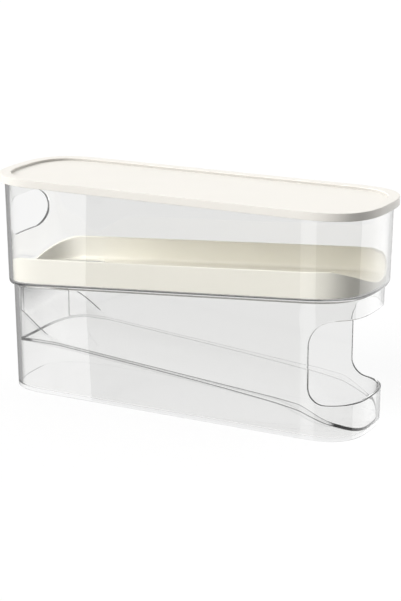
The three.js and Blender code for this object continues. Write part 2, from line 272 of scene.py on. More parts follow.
class LidSizes(bpy.types.PropertyGroup):
    """White lid."""

    seat: size("Seat", "Height of the lid's lower edge", LID_LOW[2])
    band: size("Band height", "Height of the lid's side", LID_HIGH[2] - LID_LOW[2])
    round: size("Round", "Round of the rim's edges", 0.3 * MM)
    rim: size("Rim width", "Width of the raised rim", 7.8 * MM)
    recess: size("Recess", "How far the panel lies below the rim", 2.0 * MM)
    fillet: size("Fillet", "Fillet where the rim meets the panel", 0.2 * MM)
    panel: size("Panel", "Thickness of the panel", 2.0 * MM)
    skirt: size("Skirt", "Thickness of the lid's side", 2.1 * MM)
    rim_thickness: size("Rim thickness", "Thickness of the rim over the body's edge", 2.0 * MM)
    rib: size("Rib", "Thickness of the rib inside the body's edge", 1.8 * MM)
    rib_lift: size("Rib lift", "How far the rib ends above the skirt", 0.4 * MM)


class Finishes(bpy.types.PropertyGroup):
    """Colours of the pieces and the stage."""

    clear: colour("Clear plastic", "Tint of one pass through a wall", (0.995, 0.995, 0.99))
    # Painted dark where a wall turns away from the view, standing in for the dark silhouettes of
    # bent and reflected light
    clear_painted_dark: colour("Clear plastic edge", "Tint where a wall turns away", (0.12, 0.12, 0.12))
    inner: colour("Inner clear plastic", "Tint of one face of the ramp", (0.996, 0.996, 0.996))
    # Painted dark of the ramp's and the scoop's rounded edges, standing in for the dark that bent
    # light shows there
    inner_painted_dark: colour("Inner edge", "Tint of the ramp's rounded edges", (0.0004, 0.0004, 0.0004))
    lid: colour("Lid", "Warm white of the lid", (0.92, 0.89, 0.83))
    tray: colour("Tray", "Warm white of the tray", (0.97, 0.945, 0.85))
    floor: colour("Floor", "Pale floor", (0.3, 0.3, 0.3))
    absorption: number("Absorption", "Light lost in the clear plastic, per metre", 3.0)


class CameraSizes(bpy.types.PropertyGroup):
    """The photograph's viewpoint."""

    place: spot("Place", "Where the camera stands", (0.5616, -1.0588, 0.4124))
    aim: spot("Aim", "The point in the middle of the picture", (0.0045, 0.0024, 0.076))
    focal_pixels: number("Focal length", "In pixels of the photograph", 1713.2)
    picture_height: number("Picture height", "In pixels", 601.0)


def eased(share):
    """Smooth step 3u^2 - 2u^3 of a share clamped to 0..1."""
    u = np.clip(share, 0, 1)
    return u * u * (3 - 2 * u)


def mixed(a, b, share):
    """The point a share of the way from a to b."""
    return a + (b - a) * share


class Plan:
    """Plan outline: straight sides joined by superellipse ends.

    A station is a distance along the outline of a nominal half width, counterclockwise from the
    middle of the near side. For a half width h the outline's point there is
    (centre + h * along, h * across), with |along|^n + |across|^n = 1 on the ends.
    """

    def __init__(self, sizes, nominal):
        angle = np.linspace(-math.pi / 2, math.pi / 2, ARC_SAMPLES)
        power = 2 / sizes.exponent
        self.sizes = sizes
        self.nominal = nominal
        self.straight = (sizes.length - sizes.width) / 2
        self.along = np.abs(np.cos(angle)) ** power
        self.across = np.sign(angle) * np.abs(np.sin(angle)) ** power
        steps = np.hypot(np.diff(self.along), np.diff(self.across)) * nominal
        self.arc = np.concatenate([[0.0], np.cumsum(steps)])
        self.end = self.arc[-1]
        self.total = 4 * self.straight + 2 * self.end
        self.right_tip = self.straight + self.end / 2
        self.left_start = 3 * self.straight + self.end
        self.left_tip = self.left_start + self.end / 2
        centre = np.full(len(self.arc), self.straight)
        self.knots = np.concatenate([[0.0], self.straight + self.arc, self.left_start + self.arc,
                                     [self.total]])
        self.values = [np.concatenate([[middle], right, -right, [middle]]) for middle, right in
                       ((0.0, centre), (0.0, self.along), (-1.0, self.across))]

    def at(self, station):
        """Centre, along and across at stations: x on a straight side runs with the station."""
        place = np.mod(station, self.total)
        return [np.interp(place, self.knots, values) for values in self.values]

    def outline(self, station, half):
        """Points (x, y) of the outline at a half width."""
        centre, along, across = self.at(station)
        return np.stack([centre + half * along, half * across], axis=-1)

    def mirror(self, station):
        """The station on the other side, at the same x."""
        return 2 * self.straight + self.end - station

    def near_station(self, x, half):
        """Station of a place x near the +X end, on the near side."""
        along = np.clip((x - self.straight) / half, 0, 1)
        middle = len(self.arc) // 2
        return self.straight + np.interp(along, self.along[: middle + 1], self.arc[: middle + 1])

    def left_station(self, y, half):
        """Station of a place y on the -X end."""
        return self.left_start + np.interp(-y / half, self.across, self.arc)

    def stations(self, knots=None, steps=None):
        """Stations all round, alike on both sides: knots and steps are those of the far half."""
        if knots is None:
            ends, sides = self.sizes.end_steps // 2, 2 * self.sizes.side_steps
            knots = [self.right_tip, self.straight + self.end, self.left_start, self.left_tip]
            steps = [ends, sides, ends]
        far = np.concatenate([np.linspace(a, b, n + 1) for a, b, n in zip(knots, knots[1:], steps)])
        both = np.concatenate([far, self.mirror(far)])
        turns = np.unique(np.round(np.mod(both, self.total), 9))
        return np.append(turns, turns[0] + self.total)


def step_level(sizes, x):
    """Height of the step's underside, a plane that rises towards +X."""
    return sizes.step_height + sizes.slope * x


class Profile:
    """Section of a wall, drawn by moves and carried round the plan outline.

    A row is (half width, level, follow), and its height is level + follow * step_level(x). Each
    move is a line or a quarter ellipse, which starts flat or upright, and spans 1 of the travel.
    """

    def __init__(self, plan, start, margin):
        self.plan = plan
        self.margin = margin
        self.rows = np.array([start], float)
        self.travel = np.array([0.0])

    def move(self, kind, end, steps):
        """Adds a move and returns its number. A line has support rows close to both its ends."""
        first, last = self.rows[-1], np.array(end, float)
        share = np.arange(1, steps + 1) / steps
        if kind == "line":
            rise = last[1] - first[1] + (last[2] - first[2]) * self.plan.sizes.step_height
            support = self.margin / np.hypot(last[0] - first[0], rise)
            if support < SUPPORT_LIMIT / steps:
                share = np.sort(np.concatenate([share, [support, 1 - support]]))
            flat = lift = share
        else:
            turn = share * math.pi / 2
            flat, lift = np.sin(turn), 1 - np.cos(turn)
            if kind == "upright":
                flat, lift = 1 - np.cos(turn), np.sin(turn)
        blend = np.stack([flat, lift, lift], axis=1)
        number_of_move = round(self.travel[-1])
        self.rows = np.concatenate([self.rows, first + (last - first) * blend])
        self.travel = np.concatenate([self.travel, number_of_move + share])
        return number_of_move

    def row(self, travel):
        """Half width, level and follow at a travel."""
        return [np.interp(travel, self.travel, self.rows[:, k]) for k in range(3)]

    def surface(self, station, travel):
        """Points of the surface at stations and travels."""
        half, level, follow = self.row(travel)
        x, y = np.moveaxis(self.plan.outline(station, half), -1, 0)
        return np.stack([x, y, level + follow * step_level(self.plan.sizes, x)], axis=-1)

    def settled(self, station_at, height, low, high):
        """Stations and travels of the points at given heights on the wall between two travels.

        station_at gives the station for a half width, and both are refined together, because
        the wall leans.
        """
        travel = np.full(np.shape(height), (low + high) / 2)
        for _ in range(WALL_PASSES):
            station = station_at(self.row(travel)[0])
            x = self.surface(station, travel)[..., 0]
            ends = [self.row(end) for end in (low, high)]
            bottom, top = [level + follow * step_level(self.plan.sizes, x)
                           for _, level, follow in ends]
            travel = mixed(low, high, (height - bottom) / (top - bottom))
        return station, travel


class RoundedLoop:
    """Rectangle with round corners, sampled from the middle of its lower left corner.

    Each point is a centre plus (radius + grow) in a direction, and along the boundary the
    centre, radius and direction change evenly, one at a time.
    """

    def __init__(self, left, right, low, high, round_low, round_high, across, upward):
        direction = np.radians([225, 270, 270, 315, 360, 360, 405, 450, 450, 495, 540, 540, 585])
        centres = [left + round_low, right - round_low, right - round_high, left + round_high,
                   left + round_low]
        x = np.repeat(centres, [2, 3, 3, 3, 2])
        z = np.repeat([low + round_low, high - round_high, low + round_low], [5, 6, 2])
        radius = np.repeat([round_low, round_high, round_low], [5, 6, 2])
        turned = direction[1:]
        lines = np.abs(np.diff(x) * np.sin(turned)) + np.abs(np.diff(z) * np.cos(turned))
        run = np.concatenate([[0.0], np.cumsum(lines + radius[1:] * np.diff(direction))])
        sides = [np.linspace(run[3 * k], run[3 * k + 3], steps, endpoint=False)
                 for k, steps in enumerate([across, upward, across, upward])]
        place = np.append(np.concatenate(sides), run[-1])
        self.x, self.z, self.radius, self.direction = [
            np.interp(place, run, v) for v in (x, z, radius, direction)
        ]

    def at(self, grow):
        """Points of the loop, grown outwards by a distance."""
        radius = self.radius + grow
        return self.x + radius * np.cos(self.direction), self.z + radius * np.sin(self.direction)


def quads(rows, columns, first):
    """Corner numbers of the four-sided faces of a grid of points."""
    index = first + np.arange(rows * columns).reshape(rows, columns)
    return np.stack([index[:-1, :-1], index[:-1, 1:], index[1:, 1:], index[1:, :-1]], axis=-1)


def closed_mesh(name, patches):
    """Joins patches into one closed smooth mesh. A patch is (points[rows, columns, 3], keep, edge).

    keep marks the faces to keep, or is None, and edge is 1 at the points that the material
    darkens. Shared edges are merged, flat loops left open are closed, and the faces are turned
    outwards.
    """
    points = np.concatenate([p.reshape(-1, 3) for p, _, _ in patches])
    edges = np.concatenate([np.broadcast_to(e, p.shape[:2]).ravel() for p, _, e in patches])
    faces, first = [], 0
    for p, keep, _ in patches:
        grid = quads(p.shape[0], p.shape[1], first)
        faces.append(grid.reshape(-1, 4) if keep is None else grid[keep])
        first += p.shape[0] * p.shape[1]
    data = bpy.data.meshes.new(name)
    data.from_pydata(points.tolist(), [], np.concatenate(faces).tolist())
    marks = data.attributes.new("edge", "FLOAT", "POINT").data
    marks.foreach_set("value", edges.astype(np.float32))
    work = bmesh.new()
    work.from_mesh(data)
    bmesh.ops.remove_doubles(work, verts=work.verts, dist=MERGED)
    bmesh.ops.dissolve_degenerate(work, edges=work.edges, dist=SLIVER)
    loose = [v for v in work.verts if not v.link_faces]
    bmesh.ops.delete(work, geom=loose, context="VERTS")
    border = [e for e in work.edges if e.is_boundary]
    if border:
        bmesh.ops.holes_fill(work, edges=border, sides=0)
    bmesh.ops.recalc_face_normals(work, faces=work.faces)
    open_edges = sum(1 for e in work.edges if not e.is_manifold)
    if open_edges:
        raise RuntimeError(f"{name}: {open_edges} edges are not closed")
    if work.calc_volume(signed=True) < 0:
        bmesh.ops.reverse_faces(work, faces=work.faces)
    work.to_mesh(data)
    work.free()
    data.shade_smooth()
    data.set_sharp_from_angle(angle=math.radians(SHARP))
    return data


def linked(name, data):
    """A new object in the scene."""
    item = bpy.data.objects.new(name, data)
    bpy.context.scene.collection.objects.link(item)
    return item


def aimed(item, place, aim):
    """Puts a lamp or camera at a place and turns it to a point."""
    item.location = place
    item.rotation_euler = (Vector(aim) - Vector(place)).to_track_quat("-Z", "Y").to_euler()


def placed(name, patches, material, body, node):
    """Makes a piece of the object, which stands for a node of the frame and rides on its body."""
    piece = linked(name, closed_mesh(name, patches))
    piece.data.materials.append(material)
    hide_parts(node)
    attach(piece, body)
    return piece


def lofted(rings, basis):
    """Points of a stack of rings. A ring is (xy[stations, 2], coefficients).

    Its height is the sum of each coefficient times the function of (x, y) that it belongs to.
    """
    sheets = []
    for xy, coefficients in rings:
        height = sum(c * f(*xy.T) for c, f in zip(coefficients, basis))
        sheets.append(np.column_stack([xy, height]))
    return np.stack(sheets)


def quarter(steps):
    """Pairs of shares (flat, lift) along a quarter round that starts flat, ends included."""
    turn = np.linspace(0, math.pi / 2, steps + 1)
    return list(zip(np.sin(turn), 1 - np.cos(turn)))


def one(x, y):
    """The constant 1 over the plan."""
    return np.ones_like(x)


def body_profile(plan, b):
    """Section of the clear body, from the middle of its underside round to its inside floor."""
    wall, lip = plan.sizes.wall, b.edge
    upper = b.top_half - b.taper
    lower = upper - b.step_width
    base = lower - b.lower_taper
    channel = lower - wall
    path = Profile(plan, (0, 0, 0), BODY_SUPPORT)
    path.move("line", (base - b.base_round, 0, 0), 4)
    path.move("flat", (base, b.base_round, 0), 6)
    outer_low = path.move("line", (lower, -b.step_fillet, 1), b.wall_steps)
    path.move("upright", (lower + b.step_fillet, 0, 1), 4)
    path.move("flat", (upper, b.step_round, 1), 8)
    outer_high = path.move("line", (b.top_half, b.top_height - lip, 0), b.wall_steps)
    path.move("upright", (b.top_half - lip, b.top_height, 0), 4)
    path.move("line", (b.top_half - wall + lip, b.top_height, 0), 1)
    path.move("flat", (b.top_half - wall, b.top_height - lip, 0), 4)
    inner_high = path.move("line", (upper - wall, wall + b.ledge_round, 1), b.wall_steps)
    path.move("upright", (upper - wall - b.ledge_round, wall, 1), 5)
    path.move("line", (channel + b.ledge_edge, wall, 1), 1)
    path.move("flat", (channel, wall - b.ledge_edge, 1), 4)
    inner_low = path.move("line", (base - wall, b.base_plate + b.base_inner, 0), b.wall_steps)
    path.move("upright", (base - wall - b.base_inner, b.base_plate, 0), 5)
    path.move("line", (0, b.base_plate, 0), 4)
    return path, (outer_low, inner_low), (outer_high, inner_high)


def opened(path, stations, walls, block, shares, make_loop, station_at, edge):
    """Patches round an opening through a wall, and the faces of the main grid that it takes out.

    On each face of the wall a block of the grid is replaced by rings between the opening's loop
    and the block's border. The cut itself joins the two loops over rounded edges.
    """
    wall = path.plan.sizes.wall
    along = stations[block[0]:block[1] + 1]
    sides, removed, patches = [], [], []
    for move, ends in ((walls[0], (0, 1)), (walls[1], (1, 0))):
        low, high = move + ends[0], move + ends[1]
        rows = [int(np.argmin(np.abs(path.travel - mixed(low, high, f)))) for f in shares]
        way = 1 if rows[1] > rows[0] else -1
        up = path.travel[np.arange(rows[0], rows[1] + way, way)]
        across, upward = len(along) - 1, len(up) - 1
        border = [
            (along[:-1], np.full(across, up[0])),
            (np.full(upward, along[-1]), up[:-1]),
            (along[:0:-1], np.full(across, up[-1])),
            (np.full(upward + 1, along[0]), up[::-1]),
        ]
        sides.append((low, high, *map(np.concatenate, zip(*border))))
        removed.append((min(rows), max(rows)))
    loop = make_loop(across, upward)

    def at(side, grow):
        low, high = sides[side][:2]
        p, z = loop.at(grow)
        return path.settled(lambda half: station_at(p, half), z, low, high)

    for side in (0, 1):
        near_s, near_t = at(side, edge)
        border_s, border_t = sides[side][2:]
        rings = [path.surface(mixed(near_s, border_s, f), mixed(near_t, border_t, f))
                 for f in OPENING_RINGS]
        patches.append((np.stack(rings), None, 0.0))
    cut = [(edge * (1 - flat), edge * lift / wall) for flat, lift in quarter(4)]
    cut += [(grow, 1 - depth) for grow, depth in cut[::-1]]
    rings = [mixed(path.surface(*at(0, grow)), path.surface(*at(1, grow)), depth)
             for grow, depth in cut]
    patches.append((np.stack(rings), None, 0.0))
    return patches, removed


def body_patches(plan, b, lid_seat):
    """The clear body: its section carried round the plan, with the window and the slot cut in."""
    path, low_walls, high_walls = body_profile(plan, b)
    stations = plan.stations()
    grid = path.surface(stations[None, :], path.travel[:, None])
    keep = np.ones((grid.shape[0] - 1, grid.shape[1] - 1), bool)
    start = plan.sizes.length / 2 - b.window_length
    corner = b.window_round_high + WINDOW_CORNER
    seam = plan.near_station(start + corner, plan.nominal)
    window_run = 2 * corner + plan.mirror(seam) - seam

    def window_station(p, half):
        inner = plan.near_station(start + corner, half)
        place = start + np.minimum(p, window_run - p)
        near = plan.near_station(place, half)
        near = np.where(place < plan.straight, start + p, near)
        middle = mixed(inner, plan.mirror(inner), (p - corner) / (window_run - 2 * corner))
        side = np.where(p < window_run / 2, near, plan.mirror(near))
        return np.where((p > corner) & (p < window_run - corner), middle, side)

    def window_loop(across, upward):
        return RoundedLoop(0, window_run, b.window_low, b.window_low + b.window_height,
                           b.window_round_low, b.window_round_high, across, upward)

    def slot_station(p, half):
        return plan.left_station(-p, half)

    def slot_loop(across, upward):
        middle, half = lid_seat - b.slot_below_lid, b.slot_height / 2
        return RoundedLoop(-b.slot_width / 2, b.slot_width / 2, middle - half, middle + half,
                           half, half, across, upward)

    def block(*ends):
        """Numbers of the stations nearest to two ends."""
        return [int(np.argmin(np.abs(stations - end))) for end in ends]

    patches = []
    window_end, slot_end = start - WINDOW_MARGIN, b.slot_width / 2 + SLOT_MARGIN
    window_block = block(window_end, plan.mirror(window_end))
    slot_block = block(*[plan.left_station(y, b.top_half) for y in (slot_end, -slot_end)])
    for walls, columns, shares, loop, station in (
        (low_walls, window_block, WINDOW_BLOCK, window_loop, window_station),
        (high_walls, slot_block, SLOT_BLOCK, slot_loop, slot_station),
    ):
        rings, removed = opened(path, stations, walls, columns, shares, loop, station, b.edge)
        patches += rings
        for low, high in removed:
            keep[low:high, columns[0]:columns[1]] = False
    return [(grid, keep, 0.0)] + patches


class RampShape:
    """Heights of the ramp over the plan.

    Along the wall it falls evenly from a level stretch, and along the middle it lies deeper by
    the trough's depth. Both ease down into the bowl. Across, the rise is |y|^n.
    """

    def __init__(self, plan, r, channel):
        self.r = r
        self.channel = channel
        self.half_length = plan.sizes.length / 2

    def bowl(self, x, start, end):
        """How far the ramp is in the bowl: 0 at a start and 1 at an end, from the +X end."""
        return eased((x - self.half_length + start) / (start - end))

    def edge(self, x):
        r = self.r
        slope = r.edge_height - r.slope * np.maximum(x, r.level_length - self.half_length)
        return mixed(slope, r.bowl_floor + r.bowl_rise, self.bowl(x, r.edge_start, r.edge_end))

    def middle(self, x):
        r = self.r
        slope = r.edge_height - r.depth - r.slope * x
        return mixed(slope, r.bowl_floor, self.bowl(x, r.middle_start, r.middle_end))

    def across(self, y):
        return np.clip(np.abs(y) / self.channel, 0, 1) ** self.r.trough_exponent

    def top(self, x, y):
        return mixed(self.middle(x), self.edge(x), self.across(y))

    def under(self, x, y):
        r = self.r
        start, end = r.level_length, 2 * self.half_length - r.middle_end
        run = np.clip((x + self.half_length - start) / (end - start), 0, 1) ** r.thicker_exponent
        thicker = r.thicker * run * (1 - BOWL_THINNING * self.bowl(x, r.edge_start, r.edge_end))
        return self.top(x, y) - r.wall - thicker * self.across(y)


class TierWall:
    """Half width of the lower tier's inside at a height, less a clearance."""

    def __init__(self, plan, b):
        channel = b.top_half - b.taper - b.step_width - plan.sizes.wall
        self.channel = channel
        self.base = channel - b.lower_taper
        self.low = b.base_plate + b.base_inner
        self.high = plan.sizes.step_height + plan.sizes.wall

    def half(self, z, clearance):
        share = np.clip((z - self.low) / (self.high - self.low), 0, 1)
        return mixed(self.base, self.channel, share) - clearance


def ramp_patches(plan, r, wall):
    """The ramp: rings of its upper face, over its rounded edge, and rings of its underside."""
    shape = RampShape(plan, r, wall.channel)
    stations = plan.stations()
    centre, along, across = plan.at(stations)
    half = np.full(len(stations), wall.channel)
    for _ in range(RAMP_PASSES):
        x, y = centre + half * along, half * across
        half = wall.half(shape.under(x, y), plan.sizes.fit_gap)
    low_round = mixed(r.round_low, r.round_bowl, shape.bowl(x, r.edge_start, r.edge_end))
    face = shape.top(x, y) - shape.under(x, y) - r.round_top - low_round
    # Painted dark lines along the edge's faces and rounds, standing in for the dark that bent light
    # shows there
    line = np.clip(r.line / face, 0, LINE_LIMIT)
    from_end = plan.sizes.length / 2 - np.abs(x)
    end = np.where(x > 0, r.dark_bowl, r.dark_back)
    solid = eased((end - from_end) / (DARK_EASE * end))
    middle = np.maximum(solid, eased(-x / MIDDLE_EASE))
    far_share = eased((y - r.far_start) / FAR_EASE) * (1 - solid * (x > 0))
    fading = mixed(1, r.far_line, far_share)
    rings, darkness = [], []

    def ring(reach, coefficients, dark=0.0):
        rings.append((np.stack([centre + reach * along, reach * across], axis=-1), coefficients))
        darkness.append(dark * fading)

    for f in RAMP_RINGS:
        ring(f * (half - r.round_top), (0, 1, 0))
    for flat, lift in quarter(4):
        ring(half - r.round_top * (1 - flat), (-r.round_top * lift, 1, 0), eased(4 * lift))
    faded = LINE_FADED * line
    for f, dark in (
        (line, 1), (faded, solid), *zip(MIDDLE_ROWS, (solid, middle, solid)),
        (1 - faded, solid), (1 - line, 1),
    ):
        ring(half, (mixed(-r.round_top, low_round, f), 1 - f, f), dark)
    for flat, lift in quarter(5)[::-1]:
        ring(half - low_round * (1 - flat), (low_round * lift, 0, 1), eased(4 * lift))
    for f in RAMP_RINGS[::-1]:
        ring(f * (half - low_round), (0, 0, 1))
    return [(lofted(rings, (one, shape.top, shape.under)), None, np.stack(darkness))]


def scoop_patches(plan, s, r, wall):
    """The scoop: for each place across it, a closed section from the toe up to the end wall."""
    shape = RampShape(plan, r, wall.channel)
    sizes = plan.sizes
    stations = np.linspace(plan.left_start, plan.left_start + plan.end, 2 * sizes.end_steps + 1)
    centre, along, across = plan.at(stations)
    toe = s.length - sizes.length / 2

    def top(x, y):
        back = np.maximum(toe - x, 0)
        edge = shape.edge(x) + sizes.seat_gap + s.toe
        climb = s.rise * back + back ** 2 / (2 * s.curve)
        return edge + climb - (r.depth + s.deepening * back) * (1 - shape.across(y))

    def seat(x, y):
        return shape.top(x, y) + sizes.seat_gap

    half = wall.half(np.array(SCOOP_LEVEL), sizes.fit_gap)
    y = half * across
    x_wall = centre + half * along
    inner = np.clip(np.abs(y) / (half - s.flange), 0, 1)
    bulge = (1 - inner ** sizes.exponent) ** (1 / sizes.exponent)
    hollow = inner < 1
    x_inner = np.where(hollow, -plan.straight - (half - s.flange) * bulge, x_wall)
    flange_end = s.flange_length - sizes.length / 2
    flanged = x_wall < flange_end
    x_top = np.where(flanged, np.minimum(x_inner, flange_end), x_wall)
    z_top = np.where(flanged, step_level(sizes, x_wall) - s.below_step, top(x_wall, y))
    x_hollow = np.maximum(np.where(hollow, toe - s.solid_toe, x_wall), x_inner)

    steps = np.linspace(0, 1, SCOOP_STEPS)

    def under(x):
        return np.where(hollow, np.maximum(top(x, y) - s.wall, seat(x, y)), seat(x, y))

    def stretch(first, last, height):
        """Part of the section, from one place along the scoop to another."""
        return [(x, height(x)) for x in (mixed(first, last, f) for f in steps)]

    section = [(toe + 0 * y, seat(toe + 0 * y, y)), *stretch(toe, x_top, lambda x: top(x, y))]
    section += [(x_top, z_top)]
    section += [(x_wall, z_top - share * s.edge) for share in SCOOP_STRIP]
    section += [(x_wall, seat(x_wall, y)), (x_inner, seat(x_inner, y))]
    section += [*stretch(x_inner, x_hollow, under), (x_hollow, seat(x_hollow, y))]
    section += stretch(x_hollow, toe, lambda x: seat(x, y))
    points = np.stack([np.column_stack([x, y, z]) for x, z in section])
    # Painted dark lines at the upper edge, its strip and the flange's ends, standing in for the
    # dark that bent light shows there
    flange_edge = flanged & ~(np.roll(flanged, 1) & np.roll(flanged, -1))
    edge = np.zeros(points.shape[:2])
    edge[SCOOP_STEPS] = np.where(flanged & ~flange_edge, 0, 1)
    edge[SCOOP_STEPS + 1:SCOOP_STEPS + 4] = 1
    edge[SCOOP_STEPS + 4:SCOOP_STEPS + 6, flange_edge] = 1
    return [(points, None, edge)]


def tray_patches(plan, t, b):
    """The tray: floor, rails that dip at both ends, and a drop opening with a rounded edge."""
    sizes = plan.sizes
    outer = b.top_half - b.taper - sizes.wall - sizes.fit_gap
    inner = outer - t.wall
    foot = inner - t.inner_round
    lip = foot - t.lip
    lift = sizes.wall + sizes.seat_gap
    channel = b.top_half - b.taper - b.step_width - sizes.wall
    drop_x = t.drop_length - sizes.length / 2
    corner = drop_x + plan.straight
    split_x = drop_x + TRAY_SPLIT
    runs = np.cumsum([split_x - drop_x, lip - corner, corner * math.pi / 2])
    split = plan.mirror(split_x)
    drop_start = mixed(split, plan.left_start, runs[0] / runs[-1])
    knots = [plan.right_tip, plan.straight + plan.end, split, drop_start, plan.left_start,
             plan.left_tip]
    stations = plan.stations(knots, TRAY_STEPS)
    turned = np.mod(stations, plan.total)
    near = (turned < plan.right_tip) | (turned > plan.left_tip)
    far = np.mod(np.where(near, plan.mirror(turned), turned), plan.total)

    def target(grow):
        """Where the floor ends: the middle line, then the edge of the drop opening."""
        centre, along, across = plan.at(far)
        run = (far - split) / (plan.left_start - split) * runs[-1]
        turn = (run - runs[1]) / corner
        on_end = (far > plan.left_start) | (far < plan.straight + plan.end)
        reach = np.where(far > plan.left_start, lip + grow, 0)
        cases = [on_end, run < 0, run <= runs[0] + 1e-9, run < runs[1]]
        line_x = mixed(split_x, drop_x + grow, run / runs[0])
        round_x = drop_x - corner + (corner + grow) * np.cos(turn)
        round_y = lip - corner + (corner + grow) * np.sin(turn)
        x = np.select(cases, [centre + reach * along, centre, line_x, drop_x + grow], round_x)
        y = np.select(cases, [reach * across, 0, 0, run - runs[0]], round_y)
        return np.stack([x, np.where(near, -y, y)], axis=-1)

    def dip(x, y):
        end = eased((np.abs(x) - plan.straight) / t.dip_blend)
        return t.dip * end * (1 - np.clip(np.abs(y) / channel, 0, 1) ** t.dip_exponent)

    def plane(x, y):
        return step_level(sizes, x)

    def ring(half, height, share=0.0):
        rings.append((plan.outline(stations, half), (lift + height, 1.0, -share)))

    def floor(height, half, shares):
        edge, wide = target(t.edge), plan.outline(stations, half)
        return [(mixed(edge, wide, f), (lift + height, 1.0, 0.0)) for f in shares]

    rings = floor(0.0, outer - t.round, FLOOR_SHARES)
    for flat, up in quarter(6):
        ring(outer - t.round * (1 - flat), t.round * up)
    for f in RAIL_SHARES:
        ring(outer, mixed(t.round, t.rail - t.edge, f), f)
    for flat, up in quarter(4)[::-1]:
        ring(outer - t.edge * (1 - flat), t.rail - t.edge * up, 1.0)
    for flat, up in quarter(4):
        ring(inner + t.edge * (1 - flat), t.rail - t.edge * up, 1.0)
    for f in RAIL_SHARES[::-1]:
        ring(inner, mixed(t.floor + t.inner_round, t.rail - t.edge, f), f)
    for flat, up in quarter(6)[::-1]:
        ring(foot + t.inner_round * flat, t.floor + t.inner_round * up)
    rings += floor(t.floor, foot, FLOOR_SHARES[::-1])
    basis = (one, plane, dip)
    inside = np.flatnonzero((far >= drop_start - 1e-7))
    turns = [(t.edge * (1 - flat), t.floor - t.edge * up) for flat, up in quarter(4)]
    turns += [(grow, t.floor - height) for grow, height in turns[::-1]]
    cut = [(target(grow)[inside], (lift + height, 1.0, 0.0)) for grow, height in turns]
    return [(lofted(rings, basis), None, 0.0), (lofted(cut, basis), None, 0.0)]


def lid_patches(plan, l, b):
    """The lid: panel, fillet, raised rim, side, and underneath the skirt, channel and rib.

    The fillet and the recess's wall get painted shade, a darker tone, since little light reaches
    them.
    """
    half = plan.sizes.width / 2
    recess, skirt = half - l.rim, half - l.skirt
    rib = b.top_half - plan.sizes.wall - plan.sizes.fit_gap
    top, panel, channel = l.band, l.band - l.recess, l.band - l.rim_thickness
    path = Profile(plan, (0, l.seat + l.band - l.recess, 0), LID_SUPPORT)
    for kind, reach, height, steps in (
        ("line", recess - l.fillet, panel, 5),
        ("flat", recess, panel + l.fillet, 4),
        ("line", recess, top - l.round, 1),
        ("upright", recess + l.round, top, 6),
        ("line", half - l.round, top, 2),
        ("flat", half, top - l.round, 6),
        ("line", half, LID_LOW_ROUND, 3),
        ("upright", half - LID_LOW_ROUND, 0, 3),
        ("line", skirt, 0, 1),
        ("line", skirt, channel, 2),
        ("line", rib, channel, 1),
        ("line", rib, l.rib_lift, 2),
        ("line", rib - l.rib, l.rib_lift, 1),
        ("line", rib - l.rib, panel - l.panel, 2),
        ("line", 0, panel - l.panel, 3),
    ):
        path.move(kind, (reach, l.seat + height, 0), steps)
    # Rows of the fillet and the recess's wall, which get painted shade
    painted_dark = (path.travel > 1) & (path.travel < 3)
    points = path.surface(plan.stations()[None, :], path.travel[:, None])
    return [(points, None, painted_dark[:, None])]


def opaque(tone, share=1.0):
    """A colour with full alpha, darkened to a share of its brightness."""
    return (*(share * v for v in tone), 1)


class Nodes:
    """Fills the node tree of a material or world. Its methods return an output socket."""

    def __init__(self, owner):
        owner.use_nodes = True
        self.tree = owner.node_tree
        self.tree.nodes.clear()

    def add(self, kind, output, inputs=(), **settings):
        """A node of a kind, with inputs that are constants or sockets to link."""
        node = self.tree.nodes.new("ShaderNode" + kind)
        for key, value in settings.items():
            setattr(node, key, value)
        for key, value in dict(inputs).items():
            if isinstance(value, bpy.types.NodeSocket):
                self.tree.links.new(value, node.inputs[key])
            else:
                node.inputs[key].default_value = value
        return output and node.outputs[output]

    def math(self, operation, a, b=0.0):
        return self.add("Math", "Value", {0: a, 1: b}, operation=operation)

    def noise(self, scale, detail):
        """Noise that lies fixed in the object."""
        place = self.add("TexCoord", "Object")
        return self.add("TexNoise", "Fac", {"Vector": place, "Scale": scale, "Detail": detail})

    def ranged(self, value, low, high, to_low=0.0, to_high=1.0):
        """A value carried from one range to another and held to it."""
        inputs = {"From Min": low, "From Max": high, "To Min": to_low, "To Max": to_high}
        return self.add("MapRange", "Result", {"Value": value, **inputs})

    def bump(self, height, strength, distance):
        inputs = {"Height": height, "Strength": strength, "Distance": distance}
        return self.add("Bump", "Normal", inputs)

    def blend(self, share, a, b):
        """A colour a share of the way from a to b."""
        return self.add("Mix", "Result", {"Factor": share, "A": a, "B": b}, data_type="RGBA")

    def painted_dark(self, tone, corner):
        """A colour that turns into a darker one at the points that a piece picks out: painted
        shade, and painted dark lines on clear plastic.
        """
        return self.blend(self.add("Attribute", "Fac", attribute_name="edge"), tone, corner)

    def light(self, kind, tone, strength):
        """An emission or background."""
        return self.add(kind, kind, {"Color": tone, "Strength": strength})

    def either(self, share, a, b):
        """A shader a share of the way from a to b."""
        return self.add("MixShader", "Shader", {0: share, 1: a, 2: b})

    def ray(self, kind):
        return self.add("LightPath", kind)

    def lamps_pass(self, plastic):
        """A clear shader that the light of lamps passes straight through."""
        passing = self.math("MAXIMUM", self.ray("Is Shadow Ray"), self.ray("Is Diffuse Ray"))
        return self.either(passing, plastic, self.add("BsdfTransparent", "BSDF", {"Color": WHITE}))


